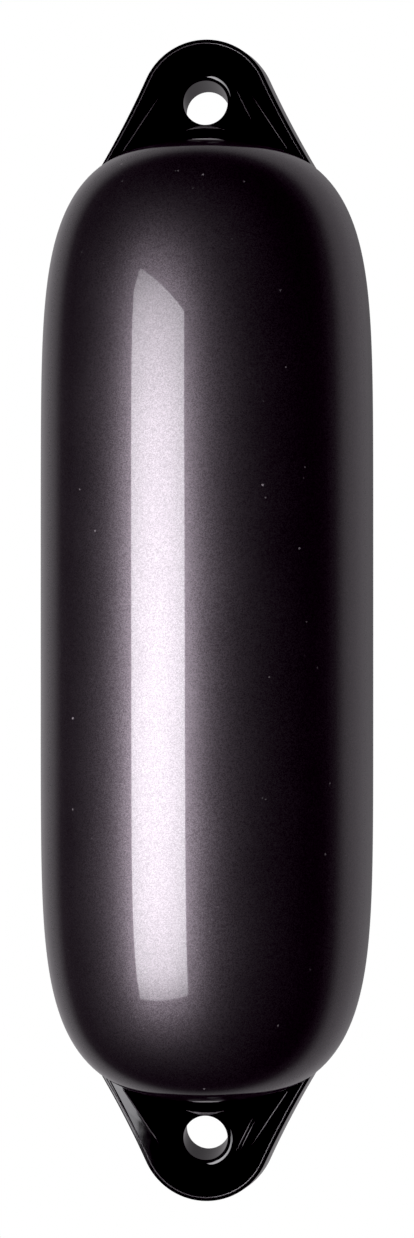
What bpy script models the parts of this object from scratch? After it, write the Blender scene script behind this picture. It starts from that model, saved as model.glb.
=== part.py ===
"""Pneumatic fender for a boat: a hollow vinyl body with a rope eye moulded into each end, and an
inflation valve behind the upper dome. Metres, +Z up along the fender as it hangs, and the valve
at the back (+Y). The origin is the middle of the fender."""

import math

import bmesh
import bpy
from mathutils import Vector

# Body, a turned superellipse: (r / radius) ^ across + (z / half length) ^ along = 1
BODY_RADIUS = 0.0952
BODY_HALF_LENGTH = 0.271
ROUNDNESS_ACROSS = 2.93
ROUNDNESS_ALONG = 6.46
WALL = 0.0036

# Rope eye, in the plane of X and Z
HOLE_RADIUS = 0.0125
HOLE_STAND_OFF = 0.023
EYE_HALF_THICKNESS = 0.015
CROWN_RADIUS = 0.0399
CROWN_DROP = 0.0016
FLARE_RADIUS = 0.534
FLARE_START = math.radians(24.6)
FLARE_SINK = 0.017
EYE_DRAFT = 0.0029
EYE_EDGE = 0.0008
LIP_RADIUS = 0.003

# Gusset, the wedge that thickens each face of an eye between its hole and the dome
GUSSET_TOP_HALF_WIDTH = 0.0245
GUSSET_TOP_ABOVE_HOLE = 0.006
GUSSET_SPREAD = math.radians(33)
GUSSET_SLOPE = math.radians(4.8)

# Root, the flange that holds an eye from inside the dome
ROOT_LAP = 0.008
ROOT_THICKNESS = 0.005
ROOT_CORNER = 0.004

# Inflation valve
VALVE_ON_DOME = math.radians(30)
BUSH_RADIUS = 0.009
BUSH_FLANGE_RADIUS = 0.012
BUSH_FLANGE_THICKNESS = 0.002
SCREW_HEAD_RADIUS = 0.0055
SCREW_HEAD_THICKNESS = 0.0022
SCREW_SHANK_RADIUS = 0.0037
SCREW_BEYOND_BUSH = 0.0015
SLOT_WIDTH = 0.0012
SLOT_DEPTH = 0.0012
GASKET_THICKNESS = 0.0012

# Fits
CLEARANCE = 0.0003
CUT_MARGIN = 0.01

# Fineness
BODY_STEPS = 48
OUTER_SEGMENTS = 20
INNER_SEGMENTS = 12
CROWN_SEGMENTS = 20
FLARE_SEGMENTS = 6
LIP_SEGMENTS = 4
HOLE_STEPS = 32
VALVE_STEPS = 24
WALL_SAMPLES = 24
MERGE = 0.00002

HOLE_HEIGHT = BODY_HALF_LENGTH + HOLE_STAND_OFF
NECK_BOTTOM = BODY_HALF_LENGTH - BODY_RADIUS
UPWARDS = {"upper": 0.0, "lower": math.pi}


def clear_scene():
    for obj in list(bpy.data.objects):
        bpy.data.objects.remove(obj)


def new_collection(name):
    collection = bpy.data.collections.new(name)
    bpy.context.scene.collection.children.link(collection)
    return collection


def make_material(name, colour, roughness, metallic=0.0):
    material = bpy.data.materials.new(name)
    material.use_nodes = True
    shader = material.node_tree.nodes["Principled BSDF"]
    shader.inputs["Base Color"].default_value = (*colour, 1.0)
    shader.inputs["Roughness"].default_value = roughness
    shader.inputs["Metallic"].default_value = metallic
    material.diffuse_color = (*colour, 1.0)
    return material


def place(name, mesh, collection, material=None, parent=None):
    """A new object for this mesh. One with no material is a cutter."""
    obj = bpy.data.objects.new(name, mesh)
    collection.objects.link(obj)
    obj.parent = parent
    if material is None:
        obj.hide_render = True
        obj.display_type = "WIRE"
    else:
        mesh.materials.clear()
        mesh.materials.append(material)
    return obj


def mesh_from(name, bm):
    bmesh.ops.recalc_face_normals(bm, faces=bm.faces)
    mesh = bpy.data.meshes.new(name)
    bm.to_mesh(mesh)
    bm.free()
    mesh.shade_smooth()
    mesh.set_sharp_from_angle(angle=math.radians(35))
    return mesh


def turned(name, chains, steps, collection, material=None, parent=None):
    """Chains of (radius, height) points turned round Z, each down its outer side."""
    mesh = bpy.data.meshes.new(name)
    points = []
    edges = []
    for chain in chains:
        first = len(points)
        points += [(radius, 0.0, height) for radius, height in chain]
        edges += [(first + i, first + i + 1) for i in range(len(chain) - 1)]
        if chain[0][0] > MERGE:
            edges.append((len(points) - 1, first))
    mesh.from_pydata(points, edges, [])
    obj = place(name, mesh, collection, material, parent)
    screw = obj.modifiers.new("turn", "SCREW")
    screw.axis = "Z"
    screw.steps = steps
    screw.render_steps = steps
    screw.use_merge_vertices = True
    screw.merge_threshold = MERGE
    screw.use_smooth_shade = True
    return obj


def combine(obj, other, operation):
    boolean = obj.modifiers.new(f"{operation.lower()}_{other.name}", "BOOLEAN")
    boolean.operation = operation
    boolean.solver = "EXACT"
    boolean.object = other


# Body

def body_point(turn, inset=0.0):
    """The profile's point at an angle from the equator, moved in from the surface, and its normal."""
    across = math.cos(turn) ** (2 / ROUNDNESS_ACROSS)
    along = math.sin(turn) ** (2 / ROUNDNESS_ALONG)
    normal = Vector(
        (
            ROUNDNESS_ACROSS / BODY_RADIUS * across ** (ROUNDNESS_ACROSS - 1),
            ROUNDNESS_ALONG / BODY_HALF_LENGTH * along ** (ROUNDNESS_ALONG - 1),
        )
    ).normalized()
    return Vector((BODY_RADIUS * across, BODY_HALF_LENGTH * along)) - inset * normal, normal


def body_profile(inset, segments):
    """(radius, height) from the upper pole to the lower one."""
    upper = []
    for i in range(segments):
        point, _ = body_point(math.pi / 2 * (1 - i / segments), inset)
        upper.append((max(point.x, 0.0) if i else 0.0, point.y))
    equator = [(BODY_RADIUS - inset, 0.0)]
    return upper + equator + [(radius, -height) for radius, height in reversed(upper)]


def turned_body(name, inset, collection):
    """The body's shape as a solid, shrunk by inset."""
    return turned(name, [body_profile(inset, INNER_SEGMENTS)], BODY_STEPS, collection)


# Rope eyes

def flare_point(lean, inset):
    """A point of an eye's right side where the outline leans this far from upright."""
    x = CROWN_RADIUS * math.cos(FLARE_START)
    z = HOLE_HEIGHT - CROWN_DROP + CROWN_RADIUS * math.sin(FLARE_START)
    x += FLARE_RADIUS * (math.cos(FLARE_START) - math.cos(lean))
    z -= FLARE_RADIUS * (math.sin(lean) - math.sin(FLARE_START))
    return x - inset * math.cos(lean), z - inset * math.sin(lean)


def flare_end():
    """How far the outline leans where the flare ends, sunk in the dome."""
    _, start = flare_point(FLARE_START, 0.0)
    drop = start - (BODY_HALF_LENGTH - FLARE_SINK)
    return math.asin(math.sin(FLARE_START) + drop / FLARE_RADIUS)


def eye_outline(inset):
    """An eye's outline moved in by inset, up the right side, over the crown and down the left."""
    end = flare_end()
    neck_half_width, _ = flare_point(end, 0.0)
    _, neck_top = flare_point(end, inset)
    right = [(neck_half_width - inset, NECK_BOTTOM), (neck_half_width - inset, neck_top)]
    for i in range(1, FLARE_SEGMENTS):
        lean = end + (FLARE_START - end) * i / FLARE_SEGMENTS
        right.append(flare_point(lean, inset))
    crown = []
    reach = math.pi / 2 - FLARE_START
    for i in range(CROWN_SEGMENTS + 1):
        turn = reach * (1 - 2 * i / CROWN_SEGMENTS)
        radius = CROWN_RADIUS - inset
        height = HOLE_HEIGHT - CROWN_DROP + radius * math.cos(turn)
        crown.append((radius * math.sin(turn), height))
    return right + crown + [(-x, z) for x, z in reversed(right)]


def eye_blank(name, grow):
    """An eye's plate with its drafted sides, larger all round by grow: a loft of five outlines."""
    face = EYE_HALF_THICKNESS + grow
    sections = (
        (-face, EYE_DRAFT + EYE_EDGE - grow),
        (-face + EYE_EDGE, EYE_DRAFT - grow),
        (0.0, -grow),
        (face - EYE_EDGE, EYE_DRAFT - grow),
        (face, EYE_DRAFT + EYE_EDGE - grow),
    )
    bm = bmesh.new()
    rings = [[bm.verts.new((x, y, z)) for x, z in eye_outline(inset)] for y, inset in sections]
    for ring, following in zip(rings, rings[1:]):
        for i in range(len(ring)):
            before = i - 1
            bm.faces.new((ring[before], ring[i], following[i], following[before]))
    bm.faces.new(rings[0])
    bm.faces.new(list(reversed(rings[-1])))
    return mesh_from(name, bm)


def gusset(name, grow):
    """The wedge across both faces, from inside the dome up to where it runs out beside the hole."""
    top = HOLE_HEIGHT + GUSSET_TOP_ABOVE_HOLE
    height = top - NECK_BOTTOM
    depth_at_top = EYE_HALF_THICKNESS - EYE_EDGE / 2 + grow
    width_at_top = GUSSET_TOP_HALF_WIDTH + grow
    bm = bmesh.new()
    bmesh.ops.create_cube(bm, size=2.0)
    for vert in bm.verts:
        fall = 0.0 if vert.co.z > 0 else height
        vert.co.x *= width_at_top + min(fall, gusset_fall()) * math.tan(GUSSET_SPREAD)
        vert.co.y *= depth_at_top + fall * math.tan(GUSSET_SLOPE)
        vert.co.z = top - fall
    return mesh_from(name, bm)


def gusset_fall():
    """How far below its top the wedge grows as wide as the flat of the neck."""
    neck_half_width, _ = flare_point(flare_end(), 0.0)
    flat = neck_half_width - EYE_DRAFT - EYE_EDGE - GUSSET_TOP_HALF_WIDTH
    return flat / math.tan(GUSSET_SPREAD)


def rope_hole(name, collection):
    """The rope's way through an eye, with its two rounded lips."""
    lip = []
    for i in range(LIP_SEGMENTS + 1):
        turn = math.pi / 2 * (1 - i / LIP_SEGMENTS)
        radius = HOLE_RADIUS + LIP_RADIUS * (1 - math.cos(turn))
        lip.append((radius, EYE_HALF_THICKNESS - LIP_RADIUS * (1 - math.sin(turn))))
    end = EYE_HALF_THICKNESS + CUT_MARGIN
    half = [(0.0, end), (HOLE_RADIUS + LIP_RADIUS, end)] + lip
    profile = half + [(radius, -height) for radius, height in reversed(half)]
    obj = turned(name, [profile], HOLE_STEPS, collection)
    obj.location = (0.0, 0.0, HOLE_HEIGHT)
    obj.rotation_euler = (math.pi / 2, 0.0, 0.0)
    return obj


def root_block(name, collection):
    """The column that the root flange is cut from."""
    neck_half_width, _ = flare_point(flare_end(), 0.0)
    half_depth = EYE_HALF_THICKNESS + ROOT_LAP + BODY_RADIUS * math.tan(GUSSET_SLOPE) / 2
    bm = bmesh.new()
    bmesh.ops.create_cube(bm, size=1.0)
    size = (2 * (neck_half_width + ROOT_LAP), 2 * half_depth, BODY_RADIUS)
    bmesh.ops.scale(bm, vec=size, verts=bm.verts)
    bmesh.ops.translate(bm, vec=(0.0, 0.0, NECK_BOTTOM + BODY_RADIUS / 2), verts=bm.verts)
    obj = place(name, mesh_from(name, bm), collection)
    bevel = obj.modifiers.new("corners", "BEVEL")
    bevel.width = ROOT_CORNER
    bevel.segments = 2
    return obj


def make_eye(end, parts, cutters, material):
    """One rope eye: plate and gusset, held by a root flange under the dome."""
    pivot = bpy.data.objects.new(f"{end}_end", None)
    parts.objects.link(pivot)
    pivot.rotation_euler = (0.0, UPWARDS[end], 0.0)
    name = f"{end}_rope_eye"
    eye = place(name, eye_blank(name, 0.0), parts, material, pivot)
    wedge = place(f"{end}_gusset", gusset(f"{end}_gusset", 0.0), cutters, None, pivot)
    root = root_block(f"{end}_root", cutters)
    under_wall = turned_body(f"{end}_under_wall", WALL + CLEARANCE, cutters)
    hollow = turned_body(f"{end}_hollow", WALL + CLEARANCE + ROOT_THICKNESS, cutters)
    hole = rope_hole(f"{end}_rope_hole", cutters)
    for helper in (root, under_wall, hollow, hole):
        helper.parent = pivot
    combine(root, under_wall, "INTERSECT")
    combine(eye, wedge, "UNION")
    combine(eye, root, "UNION")
    combine(eye, hollow, "DIFFERENCE")
    combine(eye, hole, "DIFFERENCE")
    return pivot


# Inflation valve, modelled with its outer end at the origin and +Z out of the dome

def valve_seat():
    """The place on the dome, behind the upper eye, and the direction out of it."""
    point, normal = body_point(math.pi / 2 - VALVE_ON_DOME)
    return Vector((0.0, point.x, point.y)), Vector((0.0, normal.x, normal.y))


def wall_depth(reach):
    """How deep the wall's inner side lies under the seat, within this reach of the valve's axis."""
    seat, normal = body_point(math.pi / 2 - VALVE_ON_DOME)
    along = Vector((normal.y, -normal.x))
    profile = [Vector(point) for point in body_profile(WALL, INNER_SEGMENTS)]
    deepest = WALL
    for first, second in zip(profile, profile[1:]):
        for i in range(WALL_SAMPLES):
            offset = first.lerp(second, i / WALL_SAMPLES) - seat
            if abs(offset.dot(along)) <= reach and offset.dot(normal) > -BODY_RADIUS:
                deepest = max(deepest, -offset.dot(normal))
    return deepest


def make_valve(parts, cutters, bush_material, screw_material, gasket_material):
    """The valve's bush, its slotted screw and the gasket under the screw's head."""
    place_on, out = valve_seat()
    pivot = bpy.data.objects.new("valve_seat", None)
    parts.objects.link(pivot)
    pivot.location = place_on
    pivot.rotation_euler = out.to_track_quat("Z", "Y").to_euler()
    shoulder = wall_depth(BUSH_FLANGE_RADIUS) + CLEARANCE
    bottom = shoulder + BUSH_FLANGE_THICKNESS
    floor = SCREW_HEAD_THICKNESS + GASKET_THICKNESS + 2 * CLEARANCE
    bore = SCREW_SHANK_RADIUS + CLEARANCE
    recess = SCREW_HEAD_RADIUS + CLEARANCE
    bush = [
        (BUSH_RADIUS, 0.0),
        (BUSH_RADIUS, -shoulder),
        (BUSH_FLANGE_RADIUS, -shoulder),
        (BUSH_FLANGE_RADIUS, -bottom),
        (bore, -bottom),
        (bore, -floor),
        (recess, -floor),
        (recess, 0.0),
    ]
    screw = [
        (0.0, 0.0),
        (SCREW_HEAD_RADIUS, 0.0),
        (SCREW_HEAD_RADIUS, -SCREW_HEAD_THICKNESS),
        (SCREW_SHANK_RADIUS, -SCREW_HEAD_THICKNESS),
        (SCREW_SHANK_RADIUS, -bottom - SCREW_BEYOND_BUSH),
        (0.0, -bottom - SCREW_BEYOND_BUSH),
    ]
    gasket_top = -SCREW_HEAD_THICKNESS - CLEARANCE
    gasket = [
        (SCREW_HEAD_RADIUS, gasket_top),
        (SCREW_HEAD_RADIUS, gasket_top - GASKET_THICKNESS),
        (bore, gasket_top - GASKET_THICKNESS),
        (bore, gasket_top),
    ]
    turned("valve_bush", [bush], VALVE_STEPS, parts, bush_material, pivot)
    plug = turned("valve_screw", [screw], VALVE_STEPS, parts, screw_material, pivot)
    turned("valve_gasket", [gasket], VALVE_STEPS, parts, gasket_material, pivot)
    bm = bmesh.new()
    bmesh.ops.create_cube(bm, size=1.0)
    size = (2 * SCREW_HEAD_RADIUS + CUT_MARGIN, SLOT_WIDTH, 2 * SLOT_DEPTH)
    bmesh.ops.scale(bm, vec=size, verts=bm.verts)
    slot = place("screw_slot", mesh_from("screw_slot", bm), cutters, None, pivot)
    combine(plug, slot, "DIFFERENCE")
    way = BUSH_RADIUS + CLEARANCE
    passage = [(0.0, CUT_MARGIN), (way, CUT_MARGIN), (way, -bottom), (0.0, -bottom)]
    return turned("valve_passage", [passage], VALVE_STEPS, cutters, None, pivot)


def make_body(parts, cutters, material, pivots, passage):
    """The hollow shell, with a slot for each eye and a hole for the valve."""
    inner = body_profile(WALL, INNER_SEGMENTS)
    chains = [body_profile(0.0, OUTER_SEGMENTS), list(reversed(inner))]
    shell = turned("body_shell", chains, BODY_STEPS, parts, material)
    for end, pivot in pivots.items():
        plate_slot = f"{end}_plate_slot"
        wedge_slot = f"{end}_wedge_slot"
        plate = place(plate_slot, eye_blank(plate_slot, CLEARANCE), cutters, None, pivot)
        wedge = place(wedge_slot, gusset(wedge_slot, CLEARANCE), cutters, None, pivot)
        combine(shell, plate, "DIFFERENCE")
        combine(shell, wedge, "DIFFERENCE")
    combine(shell, passage, "DIFFERENCE")


def main():
    clear_scene()
    parts = new_collection("pneumatic_fender")
    cutters = new_collection("cutters")
    body_vinyl = make_material("body_vinyl", (0.075, 0.062, 0.072), 0.28, 0.35)
    eye_vinyl = make_material("eye_vinyl", (0.006, 0.005, 0.006), 0.18)
    valve_brass = make_material("valve_brass", (0.62, 0.47, 0.22), 0.3, 1.0)
    screw_nylon = make_material("screw_nylon", (0.03, 0.03, 0.032), 0.4)
    gasket_rubber = make_material("gasket_rubber", (0.015, 0.015, 0.015), 0.7)
    pivots = {end: make_eye(end, parts, cutters, eye_vinyl) for end in UPWARDS}
    passage = make_valve(parts, cutters, valve_brass, screw_nylon, gasket_rubber)
    make_body(parts, cutters, body_vinyl, pivots, passage)


main()
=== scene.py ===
import math

import bmesh
import bpy
from mathutils import Matrix, Vector


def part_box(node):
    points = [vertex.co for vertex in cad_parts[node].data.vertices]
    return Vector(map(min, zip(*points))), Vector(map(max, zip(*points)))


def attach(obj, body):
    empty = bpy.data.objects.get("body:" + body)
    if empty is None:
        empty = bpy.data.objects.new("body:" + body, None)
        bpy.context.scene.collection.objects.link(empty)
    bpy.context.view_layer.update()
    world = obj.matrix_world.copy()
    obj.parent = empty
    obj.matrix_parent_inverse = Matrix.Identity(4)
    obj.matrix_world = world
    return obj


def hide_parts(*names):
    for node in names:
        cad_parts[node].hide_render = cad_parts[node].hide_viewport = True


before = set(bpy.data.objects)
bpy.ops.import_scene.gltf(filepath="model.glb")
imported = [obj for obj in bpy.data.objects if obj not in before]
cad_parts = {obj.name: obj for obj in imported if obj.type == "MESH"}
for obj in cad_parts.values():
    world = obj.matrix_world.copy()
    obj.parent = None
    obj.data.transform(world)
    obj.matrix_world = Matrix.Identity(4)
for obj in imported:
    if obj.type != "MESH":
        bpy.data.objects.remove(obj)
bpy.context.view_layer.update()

# The fender's sizes in metres, as the CAD part has them
BODY_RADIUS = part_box("body_shell")[1].x
BODY_HALF_LENGTH = 0.271
ROUNDNESS_ACROSS = 2.93
ROUNDNESS_ALONG = 6.46
WALL = 0.0036

HOLE_RADIUS = 0.0125
HOLE_STAND_OFF = 0.023
EYE_HALF_THICKNESS = 0.015
CROWN_RADIUS = 0.0399
CROWN_DROP = 0.0016
FLARE_RADIUS = 0.534
FLARE_START = math.radians(24.6)
FLARE_SINK = 0.017
EYE_DRAFT = 0.0029
EYE_EDGE = 0.0008
LIP_RADIUS = 0.003

GUSSET_TOP_HALF_WIDTH = 0.0245
GUSSET_TOP_ABOVE_HOLE = 0.006
GUSSET_SPREAD = math.radians(33)
GUSSET_SLOPE = math.radians(4.8)
GUSSET_EDGE = 0.0005
GUSSET_INSET = 0.0006

ROOT_LAP = 0.008
ROOT_THICKNESS = 0.005
ROOT_CORNER = 0.004

VALVE_ON_DOME = math.radians(30)
BUSH_RADIUS = 0.009
BUSH_FLANGE_RADIUS = 0.012
BUSH_FLANGE_THICKNESS = 0.002
SCREW_HEAD_RADIUS = 0.0055
SCREW_HEAD_THICKNESS = 0.0022
SCREW_SHANK_RADIUS = 0.0037
SCREW_BEYOND_BUSH = 0.0015
SLOT_WIDTH = 0.0012
SLOT_DEPTH = 0.0012
GASKET_THICKNESS = 0.0012
VALVE_EDGE = 0.0003
VALVE_BOTTOM = 0.00744

CLEARANCE = 0.0003
CUT_MARGIN = 0.01

# The fine moulded lines on the eyes' faces
RIM_LINE_INSET = 0.00138
RIM_LINE_START = 0.2565
LINE_WIDTH = 0.0007
LINE_HEIGHT = 0.00024
LINE_STEPS = 24
CREASE_START = 0.0035
CREASE_END = 0.034
ARCH_HALF_WIDTH = 0.0108
ARCH_HEIGHT = 0.2775
ARCH_RISE = 0.0018
ARCH_WIDTH = 0.0018
ARCH_DEPTH = 0.0005
SHORT_LINES = {
    "upper": [((0.0176, 0.3004), (0.0268, 0.2817))],
    "lower": [((0.0176, 0.3004), (0.0268, 0.2817)), ((0.0201, 0.2995), (0.0280, 0.2835))],
}
BEAD_SEGMENTS = 8
BEAD_ROOT = 0.0002
BEAD_FADE = 0.35
BEAD_LEAST = 0.12

# Fineness of the meshes
BODY_STEPS = 168
BODY_RINGS = 176
INNER_RINGS = 56
PROFILE_SAMPLES = 4000
POLE_CROWDING = 3
ROOT_STEPS = 96
ROOT_RINGS = 48
ROOT_CORNER_SEGMENTS = 4
BEVEL_SEGMENTS = 3
CROWN_SEGMENTS = 96
FLARE_SEGMENTS = 24
EDGE_SEGMENTS = 4
LIP_SEGMENTS = 10
HOLE_STEPS = 96
VALVE_STEPS = 72
MERGE = 0.00002

# Angles past which an edge is bevelled or shaded sharp
TURNED_BEVEL_ANGLE = math.radians(40)
GUSSET_BEVEL_ANGLE = math.radians(50)
EYE_SHARP_ANGLE = math.radians(32)
SMALL_SHARP_ANGLE = math.radians(50)
FLAT_FACE_WEIGHT = 100
NEARLY_PARALLEL = 0.95

HOLE_HEIGHT = BODY_HALF_LENGTH + HOLE_STAND_OFF
NECK_BOTTOM = BODY_HALF_LENGTH - BODY_RADIUS
ENDS = {"upper": 0.0, "lower": math.pi}

# The photograph's camera, level with the fender's middle and a little to its right
CAMERA_DISTANCE = 1.15
CAMERA_AZIMUTH = math.radians(3.8)
LENS = 58.23
SENSOR = 36.0
PHOTO_HEIGHT = 1238
MIDDLE_BELOW_CENTRE = 1.3

# Studio, as seen from the fender. The softbox's outline is (across, height) in its own plane
SOFTBOX_AZIMUTH = math.radians(-33)
SOFTBOX_DISTANCE = 0.6
SOFTBOX_OUTLINE = (
    (-0.158, -0.492),
    (0.222, -0.492),
    (0.203, 0.302),
    (-0.128, 0.394),
    (-0.166, 0.34),
)
SOFTBOX_COLOUR = (0.975, 0.965, 1.0, 1.0)
SOFTBOX_RADIANCE = 10.8
SOFTBOX_MIDDLE = -0.105
SOFTBOX_FALL = 3.1
SOFTBOX_DIM_END = (-0.53, -0.39)
SOFTBOX_END_SHARE = 0.5
BRIGHT_AZIMUTH = math.radians(169.5)
BRIGHT_ELEVATION = math.radians(3.5)
BRIGHT_GREEN = 0.965
ROOM_RADIUS = 12.0
FLOOR_RADIUS = 9.6
FLOOR_HEIGHT = -1.7

# The surroundings: (cosine of the angle from the middle of their bright side, radiance)
SURROUNDINGS = (
    (-1.0, 0.0006),
    (0.16, 0.001),
    (0.309, 0.045),
    (0.391, 0.18),
    (0.469, 0.33),
    (0.559, 0.41),
    (0.707, 0.44),
    (0.809, 0.43),
    (0.914, 0.32),
    (0.978, 0.19),
    (1.0, 0.14),
)

# The tones at which the picture's red, green and blue turn black
BLACK_LEVEL = (0.003, 0.0042, 0.0032)

# Colours, linear
WHITE = (1.0, 1.0, 1.0, 1.0)
BODY_DARK_FLAKE = (0.048, 0.0405, 0.0462, 1.0)
BODY_PALE_FLAKE = (0.134, 0.1152, 0.130, 1.0)
BODY_CLOUD = (0.045, 0.036, 0.043, 1.0)
BODY_DUST = (0.14, 0.125, 0.135, 1.0)
BODY_EDGE_TINT = (0.3, 0.27, 0.3, 1.0)
EYE_BLACK = (0.0006, 0.0005, 0.0006, 1.0)
# Paler grey for the eyes' raised lines: a painted highlight, so that they show as fine light lines
EYE_LINE_PAINTED_HIGHLIGHT = (0.045, 0.041, 0.044, 1.0)
BRASS = (0.60, 0.44, 0.19, 1.0)
BRASS_TARNISH = (0.23, 0.16, 0.08, 1.0)
NYLON_BLACK = (0.022, 0.022, 0.024, 1.0)
RUBBER_BLACK = (0.012, 0.012, 0.012, 1.0)

# Marks on the vinyl
SCRATCH_LENGTH = 12
SCRATCH_SHARE = 0.02
DUST_PALER = 4
GRAIN_PALER = 1.6


# Meshes

def settled(obj):
    """The object with its modifiers made into its mesh."""
    graph = bpy.context.evaluated_depsgraph_get()
    mesh = bpy.data.meshes.new_from_object(obj.evaluated_get(graph), depsgraph=graph)
    obj.modifiers.clear()
    obj.data = mesh
    return obj


def add_object(name, mesh):
    obj = bpy.data.objects.new(name, mesh)
    bpy.context.scene.collection.objects.link(obj)
    return obj


def mesh_from(name, bm):
    bmesh.ops.recalc_face_normals(bm, faces=bm.faces)
    mesh = bpy.data.meshes.new(name)
    bm.to_mesh(mesh)
    bm.free()
    return mesh


def loft(bm, rings):
    """Faces from each ring of corners to the next, closed at both ends."""
    for ring, following in zip(rings, rings[1:]):
        for i in range(len(ring)):
            bm.faces.new((ring[i - 1], ring[i], following[i], following[i - 1]))
    bm.faces.new(rings[0])
    bm.faces.new(rings[-1])


def turned(name, chains, steps, edge=0.0):
    """Chains of (radius, height) points turned round Z, each down its outer side."""
    points = []
    edges = []
    for chain in chains:
        first = len(points)
        points += [(radius, 0.0, height) for radius, height in chain]
        edges += [(first + i, first + i + 1) for i in range(len(chain) - 1)]
        if chain[0][0] > MERGE:
            edges.append((len(points) - 1, first))
    mesh = bpy.data.meshes.new(name)
    mesh.from_pydata(points, edges, [])
    obj = add_object(name, mesh)
    screw = obj.modifiers.new("turn", "SCREW")
    screw.steps = steps
    screw.render_steps = steps
    screw.use_merge_vertices = True
    screw.merge_threshold = MERGE
    if edge:
        bevel = obj.modifiers.new("edges", "BEVEL")
        bevel.width = edge
        bevel.segments = BEVEL_SEGMENTS
        bevel.limit_method = "ANGLE"
        bevel.angle_limit = TURNED_BEVEL_ANGLE
    return settled(obj)


def combine(obj, other, operation):
    boolean = obj.modifiers.new(operation, "BOOLEAN")
    boolean.operation = operation
    boolean.solver = "EXACT"
    boolean.object = other
    settled(obj)
    bpy.data.objects.remove(other)


def smooth_flats(obj, angle):
    """Smooth shading, sharp past this angle, that leaves flat faces flat."""
    obj.data.shade_smooth()
    obj.data.set_sharp_from_angle(angle=angle)
    weigh = obj.modifiers.new("flat faces", "WEIGHTED_NORMAL")
    weigh.keep_sharp = True
    weigh.weight = FLAT_FACE_WEIGHT
    settled(obj)


def turn_end(obj, end):
    """Turns a piece made at the upper end round to the end it belongs to."""
    obj.data.transform(Matrix.Rotation(ENDS[end], 4, "Y"))


def stand_for(obj, node_name):
    """Lets a piece take this CAD node's place."""
    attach(obj, "root")
    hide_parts(node_name)
    return obj


# Body

def body_point(turn, inset=0.0):
    """The profile's point at an angle from the equator, moved in by inset, and its normal."""
    across = math.cos(turn) ** (2 / ROUNDNESS_ACROSS)
    along = math.sin(turn) ** (2 / ROUNDNESS_ALONG)
    normal = Vector(
        (
            ROUNDNESS_ACROSS / BODY_RADIUS * across ** (ROUNDNESS_ACROSS - 1),
            ROUNDNESS_ALONG / BODY_HALF_LENGTH * along ** (ROUNDNESS_ALONG - 1),
        )
    ).normalized()
    return Vector((BODY_RADIUS * across, BODY_HALF_LENGTH * along)) - inset * normal, normal


def body_profile(inset, rings):
    """(radius, height) from the upper pole to the lower one, evenly spaced along the curve."""
    fine = []
    for i in range(PROFILE_SAMPLES + 1):
        turn = math.pi / 2 * (1 - i / PROFILE_SAMPLES) ** POLE_CROWDING
        fine.append(body_point(turn, inset)[0])
    fine[0].x = 0.0
    run = [0.0]
    for first, second in zip(fine, fine[1:]):
        run.append(run[-1] + (second - first).length)
    upper = []
    at = 0
    half = rings // 2
    for i in range(half):
        while run[at + 1] < run[-1] * i / half:
            at += 1
        share = (run[-1] * i / half - run[at]) / (run[at + 1] - run[at])
        point = fine[at].lerp(fine[at + 1], share)
        upper.append((point.x if i else 0.0, point.y))
    equator = [(BODY_RADIUS - inset, 0.0)]
    return upper + equator + [(radius, -height) for radius, height in reversed(upper)]


def surface_normal(point):
    """The direction out of the body's outer surface at this point."""
    radius = math.hypot(point.x, point.y)
    if radius < MERGE:
        return Vector((0.0, 0.0, math.copysign(1.0, point.z)))
    across = ROUNDNESS_ACROSS / BODY_RADIUS * (radius / BODY_RADIUS) ** (ROUNDNESS_ACROSS - 1)
    along = ROUNDNESS_ALONG / BODY_HALF_LENGTH
    along *= (abs(point.z) / BODY_HALF_LENGTH) ** (ROUNDNESS_ALONG - 1)
    rise = math.copysign(along, point.z)
    return Vector((across * point.x / radius, across * point.y / radius, rise)).normalized()


def shade_by_formula(obj):
    """Gives the body's faces the formula's normals, so that cuts don't disturb its reflections."""
    mesh = obj.data
    mesh.shade_smooth()
    normals = []
    for face in mesh.polygons:
        for corner in face.loop_indices:
            point = mesh.vertices[mesh.loops[corner].vertex_index].co
            exact = surface_normal(point)
            if exact.dot(face.normal) > NEARLY_PARALLEL:
                normals.append(exact)
            elif exact.dot(face.normal) < -NEARLY_PARALLEL:
                normals.append(-exact)
            else:
                normals.append(face.normal.copy())
    mesh.normals_split_custom_set(normals)


# Rope eyes

def flare_point(lean, inset):
    """A point of an eye's right side where the outline leans this far from upright."""
    x = CROWN_RADIUS * math.cos(FLARE_START)
    z = HOLE_HEIGHT - CROWN_DROP + CROWN_RADIUS * math.sin(FLARE_START)
    x += FLARE_RADIUS * (math.cos(FLARE_START) - math.cos(lean))
    z -= FLARE_RADIUS * (math.sin(lean) - math.sin(FLARE_START))
    return x - inset * math.cos(lean), z - inset * math.sin(lean)


def flare_end():
    """How far the outline leans where the flare ends, sunk in the dome."""
    _, start = flare_point(FLARE_START, 0.0)
    drop = start - (BODY_HALF_LENGTH - FLARE_SINK)
    return math.asin(math.sin(FLARE_START) + drop / FLARE_RADIUS)


def eye_outline(inset):
    """An eye's outline moved in by inset, up the right side, over the crown and down the left."""
    end = flare_end()
    neck_half_width, _ = flare_point(end, 0.0)
    _, neck_top = flare_point(end, inset)
    right = [(neck_half_width - inset, NECK_BOTTOM), (neck_half_width - inset, neck_top)]
    for i in range(1, FLARE_SEGMENTS):
        lean = end + (FLARE_START - end) * i / FLARE_SEGMENTS
        right.append(flare_point(lean, inset))
    crown = []
    reach = math.pi / 2 - FLARE_START
    for i in range(CROWN_SEGMENTS + 1):
        turn = reach * (1 - 2 * i / CROWN_SEGMENTS)
        radius = CROWN_RADIUS - inset
        height = HOLE_HEIGHT - CROWN_DROP + radius * math.cos(turn)
        crown.append((radius * math.sin(turn), height))
    return right + crown + [(-x, z) for x, z in reversed(right)]


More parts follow.
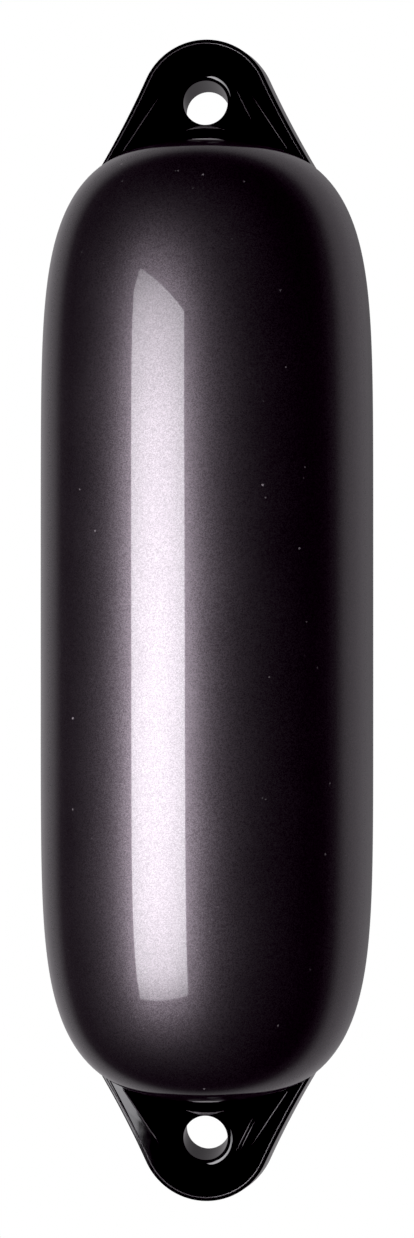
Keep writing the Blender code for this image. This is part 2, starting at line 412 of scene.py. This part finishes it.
def eye_blank(name, grow):
    """An eye's plate with drafted sides and rounded edges, larger all round by grow."""
    face = EYE_HALF_THICKNESS + grow
    half = []
    for i in range(EDGE_SEGMENTS + 1):
        turn = math.pi / 2 * i / EDGE_SEGMENTS
        out = EYE_EDGE * (1 - math.sin(turn))
        half.append((face - EYE_EDGE * (1 - math.cos(turn)), EYE_DRAFT + out - grow))
    sections = [(-y, inset) for y, inset in half] + [(0.0, -grow)] + half[::-1]
    bm = bmesh.new()
    rings = [[bm.verts.new((x, y, z)) for x, z in eye_outline(inset)] for y, inset in sections]
    loft(bm, rings)
    return add_object(name, mesh_from(name, bm))


def gusset(name, grow):
    """The wedge across both faces, from inside the dome up to where it runs out beside the hole."""
    top = HOLE_HEIGHT + GUSSET_TOP_ABOVE_HOLE
    neck_half_width, _ = flare_point(flare_end(), 0.0)
    widest = neck_half_width - EYE_DRAFT - EYE_EDGE - GUSSET_INSET
    spread_fall = (widest - GUSSET_TOP_HALF_WIDTH) / math.tan(GUSSET_SPREAD)
    bm = bmesh.new()
    rings = []
    for fall in (0.0, spread_fall, top - NECK_BOTTOM):
        x = grow + min(widest, GUSSET_TOP_HALF_WIDTH + fall * math.tan(GUSSET_SPREAD))
        y = EYE_HALF_THICKNESS - EYE_EDGE / 2 + grow + fall * math.tan(GUSSET_SLOPE)
        corners = ((x, y), (-x, y), (-x, -y), (x, -y))
        rings.append([bm.verts.new((*corner, top - fall)) for corner in corners])
    loft(bm, rings)
    obj = add_object(name, mesh_from(name, bm))
    bevel = obj.modifiers.new("edges", "BEVEL")
    bevel.width = GUSSET_EDGE
    bevel.segments = BEVEL_SEGMENTS
    bevel.limit_method = "ANGLE"
    bevel.angle_limit = GUSSET_BEVEL_ANGLE
    return settled(obj)


def rope_hole(name):
    """The rope's way through an eye, with its two rounded lips."""
    lip = []
    for i in range(LIP_SEGMENTS + 1):
        turn = math.pi / 2 * (1 - i / LIP_SEGMENTS)
        radius = HOLE_RADIUS + LIP_RADIUS * (1 - math.cos(turn))
        lip.append((radius, EYE_HALF_THICKNESS - LIP_RADIUS * (1 - math.sin(turn))))
    end = EYE_HALF_THICKNESS + CUT_MARGIN
    half = [(0.0, end), (HOLE_RADIUS + LIP_RADIUS, end)] + lip
    profile = half + [(radius, -height) for radius, height in reversed(half)]
    obj = turned(name, [profile], HOLE_STEPS)
    obj.rotation_euler = (math.pi / 2, 0.0, 0.0)
    obj.location = (0.0, 0.0, HOLE_HEIGHT)
    return obj


def root_block(name):
    """The column that the root flange is cut from."""
    neck_half_width, _ = flare_point(flare_end(), 0.0)
    half_depth = EYE_HALF_THICKNESS + ROOT_LAP + BODY_RADIUS * math.tan(GUSSET_SLOPE) / 2
    bm = bmesh.new()
    bmesh.ops.create_cube(bm, size=1.0)
    size = (2 * (neck_half_width + ROOT_LAP), 2 * half_depth, BODY_RADIUS)
    bmesh.ops.scale(bm, vec=size, verts=bm.verts)
    bmesh.ops.translate(bm, vec=(0.0, 0.0, NECK_BOTTOM + BODY_RADIUS / 2), verts=bm.verts)
    obj = add_object(name, mesh_from(name, bm))
    bevel = obj.modifiers.new("corners", "BEVEL")
    bevel.width = ROOT_CORNER
    bevel.segments = ROOT_CORNER_SEGMENTS
    return settled(obj)


def make_eye(end):
    """One rope eye: plate and gusset, held by a root flange under the dome."""
    eye = eye_blank(f"{end}_eye", 0.0)
    root = root_block("root")
    under = body_profile(WALL + CLEARANCE, ROOT_RINGS)
    inside = body_profile(WALL + CLEARANCE + ROOT_THICKNESS, ROOT_RINGS)
    combine(root, turned("under", [under], ROOT_STEPS), "INTERSECT")
    combine(eye, gusset("wedge", 0.0), "UNION")
    combine(eye, root, "UNION")
    combine(eye, turned("inside", [inside], ROOT_STEPS), "DIFFERENCE")
    combine(eye, rope_hole("hole"), "DIFFERENCE")
    smooth_flats(eye, EYE_SHARP_ANGLE)
    turn_end(eye, end)
    return stand_for(eye, f"{end}_rope_eye")


def face_depth(z):
    """How far an eye's face stands from its middle plane at this height, gusset included."""
    fall = HOLE_HEIGHT + GUSSET_TOP_ABOVE_HOLE - z
    return EYE_HALF_THICKNESS + max(0.0, fall * math.tan(GUSSET_SLOPE) - EYE_EDGE / 2)


def add_bead(bm, path, side, width, height, fades):
    """A fine raised line along (x, z) points of one face, thinner towards an end that fades."""
    rings = []
    last = len(path) - 1
    for i, (x, z) in enumerate(path):
        before = path[max(i - 1, 0)]
        after = path[min(i + 1, last)]
        along = (Vector(after) - Vector(before)).normalized()
        share = 1.0
        if fades[0]:
            share = min(share, i / last / BEAD_FADE)
        if fades[1]:
            share = min(share, (1 - i / last) / BEAD_FADE)
        share = max(share, BEAD_LEAST)
        half = width / 2 * share
        section = [(half, -BEAD_ROOT)]
        for step in range(BEAD_SEGMENTS + 1):
            turn = math.pi * step / BEAD_SEGMENTS
            section.append((half * math.cos(turn), height * share * math.sin(turn)))
        section.append((-half, -BEAD_ROOT))
        ring = []
        for across, up in section:
            depth = side * (face_depth(z) + up)
            ring.append(bm.verts.new((x + across * along.y, depth, z - across * along.x)))
        rings.append(ring)
    loft(bm, rings)


def straight(start, end):
    """Points of a straight line, from (x, z) to (x, z)."""
    shares = [i / LINE_STEPS for i in range(LINE_STEPS + 1)]
    return [tuple(Vector(start).lerp(Vector(end), share)) for share in shares]


def make_beads(end):
    """The fine moulded lines of an eye's two faces."""
    inset = EYE_DRAFT + EYE_EDGE + RIM_LINE_INSET
    rim = [(x, z) for x, z in eye_outline(inset) if z > RIM_LINE_START]
    top = HOLE_HEIGHT + GUSSET_TOP_ABOVE_HOLE
    crease = []
    for fall in (CREASE_START, CREASE_END):
        x = GUSSET_TOP_HALF_WIDTH + fall * math.tan(GUSSET_SPREAD)
        crease.append((x, top - fall))
    crease = straight(*crease)
    other_crease = [(-x, z) for x, z in crease]
    arch = []
    for i in range(LINE_STEPS + 1):
        x = ARCH_HALF_WIDTH * (2 * i / LINE_STEPS - 1)
        arch.append((x, ARCH_HEIGHT + ARCH_RISE * (1 - (x / ARCH_HALF_WIDTH) ** 2)))
    bm = bmesh.new()
    for side in (-1, 1):
        add_bead(bm, rim, side, LINE_WIDTH, LINE_HEIGHT, (False, False))
        add_bead(bm, crease, side, LINE_WIDTH, LINE_HEIGHT, (True, False))
        add_bead(bm, other_crease, side, LINE_WIDTH, LINE_HEIGHT, (True, False))
        add_bead(bm, arch, side, ARCH_WIDTH, ARCH_DEPTH, (True, True))
        for start, finish in SHORT_LINES[end]:
            hand = -side * math.cos(ENDS[end])
            line = straight((hand * start[0], start[1]), (hand * finish[0], finish[1]))
            add_bead(bm, line, side, LINE_WIDTH, LINE_HEIGHT, (True, True))
    beads = add_object(f"{end}_eye_lines", mesh_from("lines", bm))
    smooth_flats(beads, SMALL_SHARP_ANGLE)
    turn_end(beads, end)
    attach(beads, "root")
    return beads


# The shell, cut for the eyes and the valve

def make_body():
    """The hollow shell, with a slot for each eye and a hole for the valve."""
    inner = list(reversed(body_profile(WALL, INNER_RINGS)))
    shell = turned("fender_body", [body_profile(0.0, BODY_RINGS), inner], BODY_STEPS)
    for end in ENDS:
        plate = eye_blank("plate", CLEARANCE)
        combine(plate, gusset("wedge", CLEARANCE), "UNION")
        turn_end(plate, end)
        combine(shell, plate, "DIFFERENCE")
    way = BUSH_RADIUS + CLEARANCE
    passage = [(0.0, CUT_MARGIN), (way, CUT_MARGIN), (way, -VALVE_BOTTOM), (0.0, -VALVE_BOTTOM)]
    combine(shell, on_seat(turned("passage", [passage], VALVE_STEPS)), "DIFFERENCE")
    shade_by_formula(shell)
    return stand_for(shell, "body_shell")


# Valve, behind the upper eye

def on_seat(obj):
    """Moves a piece made round the origin to the valve's place on the dome."""
    point, normal = body_point(math.pi / 2 - VALVE_ON_DOME)
    out = Vector((0.0, normal.x, normal.y)).to_track_quat("Z", "Y").to_matrix().to_4x4()
    obj.data.transform(Matrix.Translation((0.0, point.x, point.y)) @ out)
    return obj


def make_bush():
    """The brass insert in the wall, with a recess for the screw's head."""
    floor = SCREW_HEAD_THICKNESS + GASKET_THICKNESS + 2 * CLEARANCE
    bore = SCREW_SHANK_RADIUS + CLEARANCE
    recess = SCREW_HEAD_RADIUS + CLEARANCE
    shoulder = VALVE_BOTTOM - BUSH_FLANGE_THICKNESS
    bush = [
        (BUSH_RADIUS, 0.0),
        (BUSH_RADIUS, -shoulder),
        (BUSH_FLANGE_RADIUS, -shoulder),
        (BUSH_FLANGE_RADIUS, -VALVE_BOTTOM),
        (bore, -VALVE_BOTTOM),
        (bore, -floor),
        (recess, -floor),
        (recess, 0.0),
    ]
    obj = on_seat(turned("valve_collar", [bush], VALVE_STEPS, VALVE_EDGE))
    smooth_flats(obj, SMALL_SHARP_ANGLE)
    return stand_for(obj, "valve_bush")


def make_screw():
    """The slotted plug that closes the valve."""
    end = -VALVE_BOTTOM - SCREW_BEYOND_BUSH
    screw = [
        (0.0, 0.0),
        (SCREW_HEAD_RADIUS, 0.0),
        (SCREW_HEAD_RADIUS, -SCREW_HEAD_THICKNESS),
        (SCREW_SHANK_RADIUS, -SCREW_HEAD_THICKNESS),
        (SCREW_SHANK_RADIUS, end),
        (0.0, end),
    ]
    obj = turned("valve_plug", [screw], VALVE_STEPS, VALVE_EDGE)
    bm = bmesh.new()
    bmesh.ops.create_cube(bm, size=1.0)
    size = (2 * SCREW_HEAD_RADIUS + CUT_MARGIN, SLOT_WIDTH, 2 * SLOT_DEPTH)
    bmesh.ops.scale(bm, vec=size, verts=bm.verts)
    combine(obj, add_object("slot", mesh_from("slot", bm)), "DIFFERENCE")
    on_seat(obj)
    smooth_flats(obj, SMALL_SHARP_ANGLE)
    return stand_for(obj, "valve_screw")


# Materials

def new_material(name, **sockets):
    """A material whose shader has these values on its own sockets."""
    material = bpy.data.materials.new(name)
    material.use_nodes = True
    shader = material.node_tree.nodes["Principled BSDF"]
    for socket, value in sockets.items():
        shader.inputs[socket.replace("_", " ")].default_value = value
    return material, material.node_tree, shader


def node(tree, kind, inputs=None, **settings):
    """A new node, whose inputs are values or other nodes' sockets."""
    made = tree.nodes.new(kind)
    for key, value in settings.items():
        setattr(made, key, value)
    for key, value in (inputs or {}).items():
        if isinstance(value, bpy.types.NodeSocket):
            tree.links.new(value, made.inputs[key])
        else:
            made.inputs[key].default_value = value
    return made


def blend_colours(tree, share, first, second):
    """Between two colours, or other colour sockets, by share."""
    return node(tree, "ShaderNodeMix", {0: share, 6: first, 7: second}, data_type="RGBA").outputs[2]


def noise(tree, place, scale, detail):
    inputs = {"Vector": place, "Scale": scale, "Detail": detail}
    return node(tree, "ShaderNodeTexNoise", inputs).outputs["Fac"]


def spread(tree, value, from_range, to_range):
    inputs = {
        "Value": value,
        "From Min": from_range[0],
        "From Max": from_range[1],
        "To Min": to_range[0],
        "To Max": to_range[1],
    }
    return node(tree, "ShaderNodeMapRange", inputs).outputs["Result"]


def bump(tree, height, strength, distance):
    inputs = {"Height": height, "Strength": strength, "Distance": distance}
    return node(tree, "ShaderNodeBump", inputs).outputs["Normal"]


def maths(tree, operation, first, second):
    inputs = {0: first, 1: second}
    return node(tree, "ShaderNodeMath", inputs, operation=operation).outputs[0]


def near_few_seeds(tree, place, scale, channel, radius, share):
    """1 within this radius of a share of a cell pattern's seeds, 0 elsewhere."""
    cells = node(tree, "ShaderNodeTexVoronoi", {"Vector": place, "Scale": scale})
    lottery = node(tree, "ShaderNodeSeparateColor", {"Color": cells.outputs["Color"]})
    near = maths(tree, "LESS_THAN", cells.outputs["Distance"], radius)
    chosen = maths(tree, "LESS_THAN", lottery.outputs[channel], share)
    return maths(tree, "MULTIPLY", near, chosen)


def specks(tree, place, scale, radius, share):
    """1 inside sparse round specks, 0 elsewhere."""
    return near_few_seeds(tree, place, scale, "Green", radius * scale, share)


def scratches(tree, place, turn, scale, width):
    """1 on sparse fine scratches that run one way, 0 elsewhere."""
    stretch = (scale, scale, scale / SCRATCH_LENGTH)
    inputs = {"Vector": place, "Rotation": turn, "Scale": stretch}
    along = node(tree, "ShaderNodeMapping", inputs).outputs[0]
    return near_few_seeds(tree, along, 1.0, "Blue", width * scale, SCRATCH_SHARE)


def body_vinyl():
    """Violet black vinyl with a fine metallic grain under a clear gloss, lightly marked."""
    material, tree, shader = new_material(
        "body_vinyl",
        Specular_Tint=BODY_EDGE_TINT,
        Coat_Weight=1.0,
        Coat_Roughness=0.025,
        Coat_IOR=1.5,
    )
    place = node(tree, "ShaderNodeTexCoord").outputs["Object"]
    flakes = node(tree, "ShaderNodeTexVoronoi", {"Vector": place, "Scale": 2900.0})
    flake = node(tree, "ShaderNodeSeparateColor", {"Color": flakes.outputs["Color"]})
    tone = blend_colours(tree, flake.outputs["Red"], BODY_DARK_FLAKE, BODY_PALE_FLAKE)
    cloud = spread(tree, noise(tree, place, 11.0, 3.0), (0.35, 0.65), (0.0, 0.14))
    tone = blend_colours(tree, cloud, tone, BODY_CLOUD)
    fine_dust = specks(tree, place, 170.0, 0.0004, 0.22)
    dust = specks(tree, place, 90.0, 0.0007, 0.1)
    marks = scratches(tree, place, (0.25, 0.1, 0.0), 260.0, 0.00016)
    light = maths(tree, "MAXIMUM", maths(tree, "MAXIMUM", fine_dust, dust), marks)
    tone = blend_colours(tree, light, tone, BODY_DUST)
    tree.links.new(tone, shader.inputs["Base Color"])
    tree.links.new(spread(tree, light, (0.0, 1.0), (0.97, 0.0)), shader.inputs["Metallic"])
    rough = spread(tree, noise(tree, place, 30.0, 4.0), (0.3, 0.7), (0.38, 0.41))
    tree.links.new(rough, shader.inputs["Roughness"])
    grain = bump(tree, noise(tree, place, 1400.0, 1.0), 0.12, 0.0001)
    tree.links.new(grain, shader.inputs["Normal"])
    return material


def eye_vinyl(name, smooth, rough, colour):
    """Solid black vinyl, glossy from the mould, with faint smears and handling marks."""
    material, tree, shader = new_material(name)
    place = node(tree, "ShaderNodeTexCoord").outputs["Object"]
    smears = spread(tree, noise(tree, place, 110.0, 5.0), (0.35, 0.7), (smooth, rough))
    marks = scratches(tree, place, (0.2, 0.9, 0.3), 420.0, 0.00012)
    tree.links.new(smears, shader.inputs["Roughness"])
    worn = tuple(DUST_PALER * channel for channel in colour[:3]) + (1.0,)
    dust = specks(tree, place, 260.0, 0.00018, 0.1)
    light = maths(tree, "MAXIMUM", marks, dust)
    tree.links.new(blend_colours(tree, light, colour, worn), shader.inputs["Base Color"])
    waves = bump(tree, noise(tree, place, 60.0, 2.0), 0.08, 0.0006)
    tree.links.new(waves, shader.inputs["Normal"])
    return material


def valve_brass():
    """Turned brass, dulled and spotted by salt."""
    material, tree, shader = new_material("valve_brass", Metallic=1.0)
    place = node(tree, "ShaderNodeTexCoord").outputs["Object"]
    spots = spread(tree, noise(tree, place, 420.0, 6.0), (0.42, 0.68), (0.0, 1.0))
    tone = blend_colours(tree, spots, BRASS, BRASS_TARNISH)
    tree.links.new(tone, shader.inputs["Base Color"])
    tree.links.new(spread(tree, spots, (0.0, 1.0), (0.24, 0.5)), shader.inputs["Roughness"])
    tree.links.new(bump(tree, spots, 0.3, 0.0001), shader.inputs["Normal"])
    return material


def matt_black(name, colour, rough, scale):
    """A dull black moulding with a fine grain."""
    material, tree, shader = new_material(name)
    place = node(tree, "ShaderNodeTexCoord").outputs["Object"]
    grain = noise(tree, place, scale, 4.0)
    paler = tuple(GRAIN_PALER * channel for channel in colour[:3]) + (1.0,)
    tree.links.new(blend_colours(tree, grain, colour, paler), shader.inputs["Base Color"])
    tree.links.new(spread(tree, grain, (0.3, 0.7), rough), shader.inputs["Roughness"])
    tree.links.new(bump(tree, grain, 0.4, 0.0001), shader.inputs["Normal"])
    return material


# Studio

def make_camera():
    data = bpy.data.cameras.new("camera")
    data.lens = LENS
    data.sensor_width = SENSOR
    data.shift_y = MIDDLE_BELOW_CENTRE / PHOTO_HEIGHT
    camera = bpy.data.objects.new("camera", data)
    bpy.context.scene.collection.objects.link(camera)
    camera.location = (
        CAMERA_DISTANCE * math.sin(CAMERA_AZIMUTH),
        -CAMERA_DISTANCE * math.cos(CAMERA_AZIMUTH),
        0.0,
    )
    camera.rotation_euler = (math.pi / 2, 0.0, CAMERA_AZIMUTH)
    bpy.context.scene.camera = camera


def emitter(name, colour, strength):
    """A material that only shines, with its tree and its light node."""
    material = bpy.data.materials.new(name)
    material.use_nodes = True
    tree = material.node_tree
    tree.nodes.clear()
    light = node(tree, "ShaderNodeEmission", {"Color": colour, "Strength": strength})
    out = node(tree, "ShaderNodeOutputMaterial")
    tree.links.new(light.outputs["Emission"], out.inputs["Surface"])
    return material, tree, light


def make_softbox():
    """A tall softbox left of the camera, one of its top corners flagged off."""
    azimuth = SOFTBOX_AZIMUTH + CAMERA_AZIMUTH
    out = Vector((math.sin(azimuth), -math.cos(azimuth), 0.0))
    right = Vector((math.cos(azimuth), math.sin(azimuth), 0.0))
    bm = bmesh.new()
    corners = [
        bm.verts.new(out * SOFTBOX_DISTANCE + right * u + Vector((0.0, 0.0, z)))
        for u, z in SOFTBOX_OUTLINE
    ]
    bm.faces.new(corners)
    mesh = bpy.data.meshes.new("softbox")
    bm.to_mesh(mesh)
    bm.free()
    softbox = add_object("softbox", mesh)
    material, tree, light = emitter("softbox", SOFTBOX_COLOUR, SOFTBOX_RADIANCE)
    place = node(tree, "ShaderNodeTexCoord").outputs["Object"]
    height = node(tree, "ShaderNodeSeparateXYZ", {"Vector": place})
    off = maths(tree, "SUBTRACT", height.outputs["Z"], SOFTBOX_MIDDLE)
    loss = maths(tree, "MULTIPLY", maths(tree, "MULTIPLY", off, off), SOFTBOX_FALL)
    left = maths(tree, "MULTIPLY", maths(tree, "SUBTRACT", 1.0, loss), SOFTBOX_RADIANCE)
    end = spread(tree, height.outputs["Z"], SOFTBOX_DIM_END, (SOFTBOX_END_SHARE, 1.0))
    tree.links.new(maths(tree, "MULTIPLY", left, end), light.inputs["Strength"])
    mesh.materials.append(material)
    softbox.visible_camera = False


def make_room():
    """A seamless white room that only the camera sees, with a pale floor."""
    material, _, _ = emitter("room_white", WHITE, 1.0)
    bm = bmesh.new()
    bmesh.ops.create_uvsphere(bm, u_segments=48, v_segments=24, radius=ROOM_RADIUS)
    room = add_object("room", mesh_from("room", bm))
    bm = bmesh.new()
    bmesh.ops.create_circle(bm, cap_ends=True, segments=64, radius=FLOOR_RADIUS)
    bmesh.ops.translate(bm, vec=(0.0, 0.0, FLOOR_HEIGHT), verts=bm.verts)
    floor = add_object("floor", mesh_from("floor", bm))
    for obj in (room, floor):
        obj.data.materials.append(material)
        obj.visible_diffuse = False
        obj.visible_glossy = False
        obj.visible_transmission = False
        obj.visible_shadow = False


def make_surroundings():
    """What the vinyl reflects: black cloth on the camera's side and pale walls behind."""
    azimuth = BRIGHT_AZIMUTH + CAMERA_AZIMUTH
    level = math.cos(BRIGHT_ELEVATION)
    middle = (level * math.sin(azimuth), -level * math.cos(azimuth), math.sin(BRIGHT_ELEVATION))
    world = bpy.data.worlds.new("surroundings")
    bpy.context.scene.world = world
    world.use_nodes = True
    tree = world.node_tree
    tree.nodes.clear()
    way = node(tree, "ShaderNodeTexCoord").outputs["Generated"]
    facing = node(tree, "ShaderNodeVectorMath", {0: way, 1: middle}, operation="DOT_PRODUCT")
    share = spread(tree, facing.outputs["Value"], (-1.0, 1.0), (0.0, 1.0))
    ramp = node(tree, "ShaderNodeValToRGB", {"Fac": share})
    stops = ramp.color_ramp.elements
    for i, (cosine, radiance) in enumerate(SURROUNDINGS):
        position = (cosine + 1) / 2
        if i >= len(stops):
            stops.new(position)
        stops[i].position = position
        stops[i].color = (radiance, radiance * BRIGHT_GREEN, radiance, 1.0)
    background = node(tree, "ShaderNodeBackground", {"Color": ramp.outputs["Color"]})
    out = node(tree, "ShaderNodeOutputWorld")
    tree.links.new(background.outputs["Background"], out.inputs["Surface"])


def develop():
    """The photograph's tones: a little more contrast, and blacks that lean to violet."""
    view = bpy.context.scene.view_settings
    view.view_transform = "Standard"
    view.use_curve_mapping = True
    view.curve_mapping.black_level = BLACK_LEVEL
    view.curve_mapping.update()


# The whole

def main():
    make_camera()
    make_body().data.materials.append(body_vinyl())
    vinyl = eye_vinyl("eye_vinyl", 0.03, 0.07, EYE_BLACK)
    # The eyes' raised lines: a rougher gloss, and a paler grey that paints highlights on them
    painted_highlight_vinyl = eye_vinyl("eye_vinyl_painted_highlight", 0.18, 0.34, EYE_LINE_PAINTED_HIGHLIGHT)
    for end in ENDS:
        make_eye(end).data.materials.append(vinyl)
        make_beads(end).data.materials.append(painted_highlight_vinyl)
    make_bush().data.materials.append(valve_brass())
    nylon = matt_black("screw_nylon", NYLON_BLACK, (0.34, 0.5), 900.0)
    make_screw().data.materials.append(nylon)
    rubber = matt_black("gasket_rubber", RUBBER_BLACK, (0.6, 0.8), 700.0)
    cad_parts["valve_gasket"].material_slots[0].material = rubber
    make_softbox()
    make_room()
    make_surroundings()
    develop()


main()
